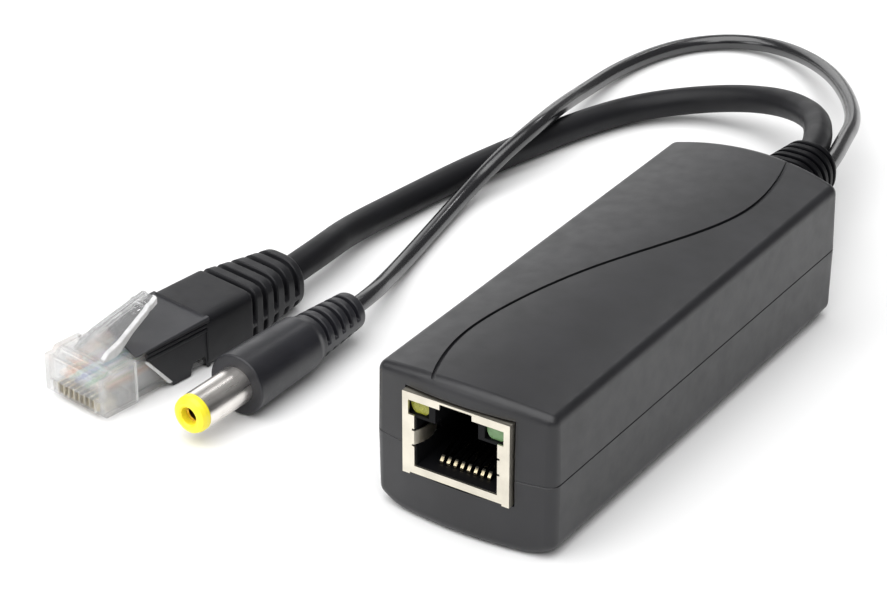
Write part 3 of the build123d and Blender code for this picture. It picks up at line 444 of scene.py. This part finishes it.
def round_end(distance, radius):
    """How far a quarter circle draws in at a distance from its end: the radius minus the
    root of radius squared less missing squared, where missing is radius minus distance."""
    missing = np.clip(radius - distance, 0, None)
    return radius - np.sqrt(np.clip(radius ** 2 - missing ** 2, 0, None))


print("a step that is eased over 1 mm is at", float(inside(0.0, 0.0, 5.0, 1.0)), "on its line")

# %% [markdown]
# A round or oval piece is a skin over rings of points, one behind the other. Quads join
# each ring to the next, and a fan of triangles closes each end at the middle of its
# ring. The rings are laid out straight first and moved to their plug afterwards, so
# that every piece of a plug shares one place and one turn.

# %% Skin over rings
def ring_directions(count):
    """Cosine and sine of evenly spaced turns, as one row each."""
    turn = np.linspace(0, 2 * np.pi, count, endpoint=False)
    return np.cos(turn)[None, :], np.sin(turn)[None, :]


def place(grid, x, y, z, turn_deg=0.0):
    """Moves a grid to a place on the table and turns it clockwise, as seen from above."""
    a = math.radians(turn_deg)
    px, py, pz = grid[..., 0], grid[..., 1], grid[..., 2]
    turned_x = px * math.cos(a) + py * math.sin(a)
    turned_y = -px * math.sin(a) + py * math.cos(a)
    return np.stack([turned_x + x, turned_y + y, pz + z], -1)


def on_plug(grid, z=0.0):
    """Places a grid that is given in the network plug's own directions."""
    return place(grid, PLUG_X, PLUG_Y, z, PLUG_TURN)


def face_out(mesh):
    """Turns every face of a closed mesh outwards."""
    work = bmesh.new()
    work.from_mesh(mesh)
    bmesh.ops.recalc_face_normals(work, faces=work.faces)
    if work.calc_volume(signed=True) < 0:
        bmesh.ops.reverse_faces(work, faces=work.faces)
    work.to_mesh(mesh)
    work.free()


def closed_mesh(name, points_mm, faces, material):
    """Mesh of points in millimetres, faced outwards and smooth, with one material."""
    mesh = bpy.data.meshes.new(name)
    mesh.from_pydata(points_mm * MM, [], faces)
    face_out(mesh)
    mesh.polygons.foreach_set("use_smooth", np.ones(len(mesh.polygons), dtype=bool))
    mesh.materials.append(material)
    return mesh


def skin(name, grid, material):
    """Closed surface through a grid of rings; the first and last ring close at a point."""
    rings, around, _ = grid.shape
    poles = np.stack([grid[0].mean(axis=0), grid[-1].mean(axis=0)])
    points = np.vstack([grid.reshape(-1, 3), poles])
    j = np.arange(around)
    k = (j + 1) % around
    first_pole = np.full(around, rings * around)
    last_ring = (rings - 1) * around
    row = np.arange(rings - 1)[:, None] * around
    quads = np.stack([row + j, row + k, row + around + k, row + around + j], -1).reshape(-1, 4)
    first = np.stack([first_pole, k, j], -1)
    last = np.stack([first_pole + 1, last_ring + j, last_ring + k], -1)
    faces = quads.tolist() + first.tolist() + last.tolist()
    return add_object(name, closed_mesh(name, points, faces, material))


print("the network plug starts at", (PLUG_X, PLUG_Y), "mm and is turned", PLUG_TURN, "degrees")

# %% [markdown]
# Three moulded tails carry the leads: the grommet in the rear wall, the boot of the
# network plug and the grip of the power plug. On the real ones slots are cut from both
# sides so that the rubber can bend, and a thin web is left standing between them. One
# function makes all three. It starts from a smooth tapering skin and presses the slots
# into it with a soft-edged step, except where the web runs.

# %% Ribbed tails
TAIL_POINTS_AROUND = 144
SLOT_EDGE, WEB_EDGE = 0.16, 0.12
CORNER_SHARPNESS = 7


def ribbed_tail(along, half_width, half_height, corner, slots, slot_width, depth, web, end_round,
                shift=0.0):
    """Rings of a rounded-box tail: its outline at each place, less the slots and the end round.

    A ring is a box with round corners: centre of the corner plus its radius times the
    direction. Slots press every point inwards, except between the two web heights."""
    cos, sin = ring_directions(TAIL_POINTS_AROUND)
    y = along[:, None]
    a, b, r = half_width[:, None], half_height[:, None], corner[:, None]
    x = (a - r) * np.tanh(CORNER_SHARPNESS * cos) + r * cos
    z = (b - r) * np.tanh(CORNER_SHARPNESS * sin) + r * sin
    slot = sum(inside(y, start, start + slot_width, SLOT_EDGE) for start in slots)
    keep = 1.0 - inside(z, web[0], web[1], WEB_EDGE)
    press = depth * slot * keep + round_end(along[-1] - y, end_round)
    x, z = x - press * cos, z - press * sin
    return np.stack([x + np.reshape(shift, (-1, 1)), np.broadcast_to(y, x.shape), z], -1)


print("a tail has", TAIL_POINTS_AROUND, "points in each ring")

# %% [markdown]
# The grommet is an oval that tapers from the case to the leads and starts inside the
# rear wall. Its slots are narrow and close, 1.9 mm apart. They are counted back from
# the end, so that a whole ring closes the grommet round the leads.

# %% Grommet in the rear wall
CASE_REAR, IN_WALL = 39.75, 1.6
GROMMET_PITCH, GROMMET_SLOTS = 1.9, 8
RING_STEP = 0.07
along = np.arange(CASE_REAR - IN_WALL, RELIEF_END + 0.01, RING_STEP)
half_height = between(along, CASE_REAR, RELIEF_END, 5.2, 4.2)
grid = ribbed_tail(
    along,
    half_width=between(along, CASE_REAR, RELIEF_END, 6.4, 4.4),
    half_height=half_height,
    corner=half_height - 0.35,
    slots=[RELIEF_END - GROMMET_PITCH * (i + 1) for i in range(GROMMET_SLOTS)],
    slot_width=0.75, depth=0.9, web=(-3.0, -1.4), end_round=0.6,
    shift=between(along, CASE_REAR, RELIEF_END, 0.0, -0.3),
)
grommet = skin("grommet", place(grid, 0, 0, RELIEF_AXIS), relief_rubber)
stand_for(grommet, "strain_relief")
print("grommet faces:", len(grommet.data.polygons))

# %% [markdown]
# The power plug's grip is a round drum with a slight taper, a shoulder, and a slotted
# tail. It is the same surface with equal width and height. The shoulder is an eased
# change from the drum's radius to the tail's.

# %% Grip of the power plug
BARREL_LENGTH, GRIP_LENGTH = 10.2, 14.6
TAIL_START = BARREL_LENGTH + GRIP_LENGTH
SHOULDER_START, SHOULDER_LENGTH = TAIL_START - 1.1, 1.6
GRIP_PITCH, GRIP_SLOTS = 1.848, 5
GRIP_FRONT_ROUND = 0.35
along = np.arange(BARREL_LENGTH, POWER_END + 0.01, RING_STEP)
drum = between(along, BARREL_LENGTH, TAIL_START - 1.0, 4.5, 4.1)
tail = between(along, TAIL_START + 0.4, POWER_END, 3.6, 2.8)
share = smooth_step((along - SHOULDER_START) / SHOULDER_LENGTH)
radius = drum * (1 - share) + tail * share - round_end(along - BARREL_LENGTH, GRIP_FRONT_ROUND)
grid = ribbed_tail(
    along, radius, radius, radius - 0.01,
    slots=[TAIL_START + 1.1 + GRIP_PITCH * i for i in range(GRIP_SLOTS)],
    slot_width=0.75, depth=0.85, web=(-1.35, 0.15), end_round=0.5,
)
grip = skin("power_grip", place(grid, POWER_X, POWER_Y, POWER_AXIS, POWER_TURN), grip_plastic)
stand_for(grip, "dc_plug_body")
print("grip faces:", len(grip.data.polygons))

# %% [markdown]
# Walls, rails and ribs of the network plug are flat mouldings with sharp outlines, which
# a skin over rings would blur. Each is a slab: an outline, seen from the side, pushed
# across the plug. Several slabs make one piece, and a bevel gives their edges the fine
# round that catches the light.

# %% Slabs and mouldings
BEVEL_STEPS = 2
SHARP_ANGLE = math.radians(35)


def slab(outline, low, high):
    """Closed block: an outline of places along and above the plug, pushed across it from
    low to high. Returns its points and its faces: a wall for each side, then both ends."""
    outline = np.array(outline)
    n = len(outline)
    points = np.vstack([np.column_stack([np.full(n, x), outline]) for x in (low, high)])
    ring = np.arange(n)
    after = np.roll(ring, -1)
    return points, [*np.column_stack([ring, after, after + n, ring + n]), ring, ring[::-1] + n]


def mouldings(name, slabs, material, round_mm=0.15, reshape=lambda points: points):
    """One piece of the plug made of several slabs, with a fine round on every edge.

    The points pass through reshape before the piece is placed on the plug."""
    points, faces, count = [], [], 0
    for outline, low, high in slabs:
        block, block_faces = slab(outline, *sorted((low, high)))
        points.append(block)
        faces += [(face + count).tolist() for face in block_faces]
        count += len(block)
    mesh = closed_mesh(name, on_plug(reshape(np.vstack(points))), faces, material)
    mesh.set_sharp_from_angle(angle=SHARP_ANGLE)
    piece = add_object(name, mesh)
    bevel = piece.modifiers.new("edge", "BEVEL")
    bevel.width = round_mm * MM
    bevel.segments = BEVEL_STEPS
    bevel.limit_method = "ANGLE"
    return piece


def box_outline(start, end, low, high):
    """Four corners of a plain wall, seen from the side."""
    return [(start, low), (start, high), (end, high), (end, low)]


print("a slab of four corners has", len(slab(box_outline(0, 1, 0, 1), 0, 1)[1]), "faces")

# %% [markdown]
# The boot of the network plug has a box-shaped body that turns into an oval, slotted
# tail. The body and the tail are one more ribbed skin.

# %% Body and tail of the boot
BODY_START, BODY_END = 19.9, 28.4
BOOT_PITCH, BOOT_SLOTS, BOOT_RING_STEP = 2.35, 5, 0.08
along = np.arange(BODY_START, BOOT_END + 0.01, BOOT_RING_STEP)
grid = ribbed_tail(
    along,
    half_width=between(along, BODY_END, BOOT_END, 5.6, 4.45),
    half_height=between(along, BODY_END, BOOT_END, 4.15, 4.0),
    corner=between(along, BODY_END, BOOT_END, 1.5, 3.6),
    slots=[BODY_END + 0.3 + BOOT_PITCH * i for i in range(BOOT_SLOTS)],
    slot_width=0.9, depth=0.95, web=(-1.7, -0.4), end_round=0.7,
)
boot_pieces = [skin("boot_tail", on_plug(grid, BOOT_AXIS), boot_plastic)]
print("boot tail faces:", len(boot_pieces[0].data.polygons))

# %% [markdown]
# In front of the boot's body a flat tongue lies under the latch. Its front edge runs on a
# slant, and nothing of it shows on the left of the latch. So the tongue starts as a plain
# slab, and then its left side moves right and back, most at the front.

# %% Tongue of the boot
TONGUE_START, TONGUE_WIDE, TONGUE_HALF = 6.4, 19.0, 5.55
DRAWN_RIGHT, DRAWN_BACK = 2.4, 2.8
PLUG_TOP = 7.35
BODY_JOIN = BODY_START + 0.5


def drawn_in(points):
    """Moves points left of the middle right and back, in proportion to how far forward
    they lie between the widest place and the start of the tongue."""
    y = points[:, 1]
    forward = between(y, TONGUE_START, TONGUE_WIDE, 1.0, 0.0) * (points[:, 0] < 0)
    return points + np.column_stack([DRAWN_RIGHT * forward, DRAWN_BACK * forward, np.zeros_like(y)])


underside = PLUG_TOP + 0.08
tongue = [
    (TONGUE_START, underside), (TONGUE_START, PLUG_TOP + 0.35), (TONGUE_WIDE, PLUG_TOP + 0.72),
    (BODY_JOIN, PLUG_TOP + 0.75), (BODY_JOIN, underside), (TONGUE_WIDE, underside),
]
boot_pieces.append(mouldings(
    "boot_tongue", [(tongue, -TONGUE_HALF, TONGUE_HALF)], tongue_painted_light, reshape=drawn_in))
print("tongue points:", len(boot_pieces[-1].data.vertices))

# %% [markdown]
# Two cheeks hold the plug at its sides. Each is a thin wall with a slanted front and a
# notch near the body, and three rails run along its upper edge over a thin backing. The
# left rails start further back than the right ones, because the tongue is drawn in on
# the left. A black core fills the rear of the clear plug, between its walls.

# %% Cheeks, rails and core of the boot
CHEEK_INNER, CHEEK_OUTER, BACKING_OUTER, RAIL_OUTER = 5.06, 5.4, 5.35, 5.55
RAIL_LOW, RAIL_TOP = 5.9, PLUG_TOP + 0.3
LEFT_RAIL_START, RIGHT_RAIL_START = 14.0, 8.6
CORE_HALF = 4.14
cheek = [
    (8.9, RAIL_LOW + 0.1), (13.3, 0.15), (16.6, 0.15), (17.1, 2.1), (19.4, 2.1), (19.8, 0.15),
    (BODY_JOIN, 0.15), (BODY_JOIN, RAIL_LOW + 0.1),
]
rails = [
    (RAIL_LOW, RAIL_TOP, BACKING_OUTER), (RAIL_LOW, 6.35, RAIL_OUTER),
    (6.6, 7.0, RAIL_OUTER), (7.2, RAIL_TOP, RAIL_OUTER),
]
sides = []
for side, rail_start in ((-1, LEFT_RAIL_START), (1, RIGHT_RAIL_START)):
    sides.append((cheek, side * CHEEK_INNER, side * CHEEK_OUTER))
    for low, high, outer in rails:
        rail = box_outline(rail_start, BODY_JOIN, low, high)
        sides.append((rail, side * CHEEK_INNER, side * outer))
boot_pieces.append(mouldings("boot_cheeks", sides, boot_plastic, 0.1))
core = box_outline(15.8, BODY_JOIN, 1.81, 6.39)
boot_pieces.append(mouldings("boot_core", [(core, -CORE_HALF, CORE_HALF)], boot_plastic))
for piece in boot_pieces:
    stand_for(piece, "plug_boot")
print("boot pieces:", len(boot_pieces))

# %% [markdown]
# The network plug is moulded in clear plastic with walls about a millimetre thick. What
# the eye reads as clear is mostly its edges, so the body is made wall by wall, each with
# a fine round on its edges: side walls, roof, floor, nose and the fins between the blades.
# The step at each side and the slanted rib behind it show white, so they take the
# whiter copy of the clear plastic as a painted highlight.

# %% Clear plug
PLUG_HALF, PLUG_REAR_HALF, PLUG_LOW, PLUG_LENGTH = 5.84, 5.0, 0.75, 21.4
WIDE_END, WALL = 6.3, 0.85
BLADE_PITCH, BLADE_TOP, BLADE_END, FIN_HALF, FINS = 1.02, 2.95, 3.4, 0.28, 9
NOSE_TOP, NOSE_STEP, ROOF_START, CHIN = 6.75, 1.4, 2.6, 1.25
INNER, ROOF_UNDER, FLOOR_TOP = PLUG_HALF - WALL, PLUG_TOP - WALL, PLUG_LOW + WALL

nose = [
    (0.0, BLADE_TOP), (0.0, NOSE_TOP), (NOSE_STEP, NOSE_TOP), (1.9, PLUG_TOP),
    (ROOF_START, PLUG_TOP), (ROOF_START, 6.3), (1.1, 5.7), (1.1, BLADE_TOP),
]
side_wall = [
    (0.0, CHIN), (0.5, PLUG_LOW), (WIDE_END, PLUG_LOW), (WIDE_END, PLUG_TOP),
    (1.9, PLUG_TOP), (NOSE_STEP, NOSE_TOP), (0.0, NOSE_TOP),
]
rear_side = box_outline(WIDE_END, PLUG_LENGTH, FLOOR_TOP, ROOF_UNDER)
cord_clamp = [(8.6, 6.5), (11.4, 6.5), (10.9, 4.7), (9.9, 4.7)]
walls = [
    (nose, -INNER, INNER),
    (box_outline(ROOF_START, WIDE_END, ROOF_UNDER, PLUG_TOP), -INNER, INNER),
    (box_outline(WIDE_END, PLUG_LENGTH, ROOF_UNDER, PLUG_TOP), -PLUG_REAR_HALF, PLUG_REAR_HALF),
    (box_outline(BLADE_END, PLUG_LENGTH, PLUG_LOW, FLOOR_TOP), -PLUG_REAR_HALF, PLUG_REAR_HALF),
    (box_outline(BLADE_END, BLADE_END + 1.6, FLOOR_TOP, BLADE_TOP + 0.2), -INNER, INNER),
    (cord_clamp, -3.6, 3.6),
]
step = box_outline(WIDE_END - 0.25, WIDE_END + 0.02, PLUG_LOW + 0.3, PLUG_TOP - 0.3)
rib = [(8.25, RAIL_LOW), (8.75, RAIL_LOW), (13.15, 0.8), (12.45, 0.8)]
side_ribs = []
for sign in (-1, 1):
    walls.append((side_wall, sign * INNER, sign * PLUG_HALF))
    walls.append((rear_side, sign * (PLUG_REAR_HALF - WALL), sign * PLUG_REAR_HALF))
    side_ribs.append((rib, sign * PLUG_REAR_HALF, sign * (PLUG_REAR_HALF + 0.42)))
    side_ribs.append((step, sign * (PLUG_HALF - 0.4), sign * (PLUG_HALF + 0.02)))
fin = [(0.0, CHIN), (0.5, PLUG_LOW), (BLADE_END, PLUG_LOW), (BLADE_END, BLADE_TOP), (0.0, BLADE_TOP)]
fin_middles = (np.arange(FINS) - FINS // 2) * BLADE_PITCH
clear_pieces = [
    mouldings("plug_walls", walls, clear_plastic, 0.12),
    mouldings("plug_side_ribs", side_ribs, painted_highlight_white, 0.05),
    mouldings("plug_fins", [(fin, m - FIN_HALF, m + FIN_HALF) for m in fin_middles], clear_plastic, 0.05),
]
print("clear walls:", len(walls), "side ribs:", len(side_ribs), "fins:", len(fin_middles))

# %% [markdown]
# The latch is a lever that springs from the front of the roof. It is a strip with a
# round-cornered section, carried up a slope, wide at its root and narrow at its tail.
# Its two edges stand a little higher than its middle, so it is made as three strips
# side by side. The right edge faces the light, so it takes the whiter copy of the clear
# plastic as a painted highlight, while the left one stays clear.

# %% Latch of the clear plug
LATCH_START, LATCH_END, LATCH_SLOPE = 3.0, 14.6, math.radians(19.6)
LATCH_ROOT, SLOPE_START, ROOT_RISE, ROOT_LENGTH = 0.95, 4.2, 0.75, 1.2
LATCH_HALF, LATCH_TAPER, LATCH_TIP_ROUND = 3.0, 1.4, 0.3
LATCH_THICK, LATCH_THIN, CATCH_RISE = 1.75, 1.05, 0.16
EDGE_HALF, EDGE_LIFT, MIDDLE_INSET, LATCH_CORNER = 0.42, 0.12, 0.5, 0.22
LATCH_POINTS_AROUND, LATCH_RINGS, LATCH_SHARPNESS = 96, 150, 9
LATCH_SHARP_ANGLE = math.radians(50)


def latch_strip(y, middle, half, lift):
    """Rings of one strip of the latch. Its top is the root's height plus the slope times
    the distance past the slope's start, it thins towards its tail, and its section is a
    box with round corners about its middle."""
    climb = np.tan(LATCH_SLOPE) * np.clip(y - SLOPE_START, 0, None)
    root = ROOT_RISE * (smooth_step((y - LATCH_START) / ROOT_LENGTH) - 1.0)
    catch = CATCH_RISE * inside(y, 12.5, 13.1, 0.5)
    top = PLUG_TOP + LATCH_ROOT + climb + root + catch + lift
    thick = between(y, 5.0, 9.0, LATCH_THICK, LATCH_THIN)
    under = np.maximum(top - thick, PLUG_TOP - 0.3)
    half_thick = (top - under) / 2
    cos, sin = ring_directions(LATCH_POINTS_AROUND)
    corner = np.minimum(LATCH_CORNER, half_thick * 0.9)[:, None]
    x = (half[:, None] - corner) * np.tanh(LATCH_SHARPNESS * cos) + corner * cos
    z = (half_thick[:, None] - corner) * np.tanh(LATCH_SHARPNESS * sin) + corner * sin
    x, z = x + middle[:, None], z + ((top + under) / 2)[:, None]
    return np.stack([x, np.broadcast_to(y[:, None], x.shape), z], -1)


y = np.linspace(LATCH_START, LATCH_END, LATCH_RINGS)
half = LATCH_HALF - between(y, 6.3, 14.2, 0.0, LATCH_TAPER) - round_end(LATCH_END - y, LATCH_TIP_ROUND)
edge = np.full_like(y, EDGE_HALF)
for name, middle, strip_half, lift, finish in (
    ("plug_latch", np.zeros_like(y), half - MIDDLE_INSET, 0.0, clear_plastic),
    ("plug_latch_left", edge - half, edge, EDGE_LIFT, clear_plastic),
    ("plug_latch_right", half - edge, edge, EDGE_LIFT, painted_highlight_white),
):
    strip = skin(name, on_plug(latch_strip(y, middle, strip_half, lift)), finish)
    strip.data.set_sharp_from_angle(angle=LATCH_SHARP_ANGLE)
    clear_pieces.append(strip)
for piece in clear_pieces:
    stand_for(piece, "plug_body")
print("clear plug pieces:", len(clear_pieces))

# %% [markdown]
# The photograph was taken on white. The floor is one pale sheet, six metres wide, and
# the surround is white and dim, so that it lifts the shadows and adds no shape.

# %% Floor and surround
FLOOR_SIZE, PAPER_MOTTLE, SURROUND_STRENGTH = 6.0, 3, 0.2


def floor_sheet(size):
    """Square of the given size in the plane z = 0."""
    half = size / 2
    corners = np.array([(-half, -half, 0), (half, -half, 0), (half, half, 0), (-half, half, 0)])
    mesh = bpy.data.meshes.new("floor")
    mesh.from_pydata(corners, [], [(0, 1, 2, 3)])
    return add_object("floor", mesh)


floor = floor_sheet(FLOOR_SIZE)
floor_paper, tree, shader = new_material("floor_paper")
paper = ramp(tree, noise(tree, PAPER_MOTTLE), (0.86, 0.86, 0.86), (0.9, 0.9, 0.9))
tree.links.new(paper, shader.inputs["Base Color"])
shader.inputs["Roughness"].default_value = 0.9
floor.data.materials.append(floor_paper)

world = bpy.data.worlds.new("surround")
world.use_nodes = True
background = world.node_tree.nodes["Background"]
background.inputs["Color"].default_value = (1.0, 1.0, 1.0, 1)
background.inputs["Strength"].default_value = SURROUND_STRENGTH
scene.world = world
scene.view_settings.view_transform = "Standard"
print("floor", FLOOR_SIZE, "m wide")

# %% [markdown]
# A black object is lit by what it mirrors. A wide soft sun, tilted to the front, lights
# the floor, and the case's sides mirror that floor. The case's top mirrors a large dim
# box behind on the left, and the dark band along its right upper edge mirrors the empty
# place beside that box. A small bright box behind draws the line along the thin lead,
# and three boxes in front light the socket, the plugs and the yellow tip.

# %% Lights
SUN_STRENGTH, SUN_WIDTH = 3.2, math.radians(75)
SUN_DIRECTION = (0.0, -0.24, 0.96)


def aim(lamp, direction):
    """Turns a lamp so that it shines from the given direction towards the part."""
    lamp.rotation_euler = (-Vector(direction)).to_track_quat("-Z", "Y").to_euler()


def softbox(name, direction, distance, width, height, radiance):
    """Area light of width by height metres, at a distance in a direction from the part."""
    light = bpy.data.lights.new(name, "AREA")
    light.shape = "RECTANGLE"
    light.size, light.size_y = width, height
    light.energy = radiance * math.pi * width * height
    lamp = add_object(name, light)
    lamp.location = Vector(direction).normalized() * distance
    aim(lamp, direction)


sky = bpy.data.lights.new("overhead_sky", "SUN")
sky.energy = SUN_STRENGTH
sky.angle = SUN_WIDTH
aim(add_object("overhead_sky", sky), SUN_DIRECTION)
softbox("rear_left_box", (-0.64, 0.727, 0.31), 0.9, 0.7, 0.38, 1.4)
softbox("rear_top_glint", (-0.12, 0.73, 0.67), 1.0, 0.12, 0.12, 9.0)
softbox("front_box", (-0.35, -0.85, 0.36), 0.8, 0.5, 0.32, 2.5)
softbox("front_left_box", (-0.75, -0.35, 0.6), 0.8, 0.35, 0.3, 2.6)
softbox("front_right_box", (0.62, -0.42, 0.66), 0.9, 0.25, 0.25, 3.4)

# %% [markdown]
# Both leads are shown from end to end in the photograph.

print("leads in place")
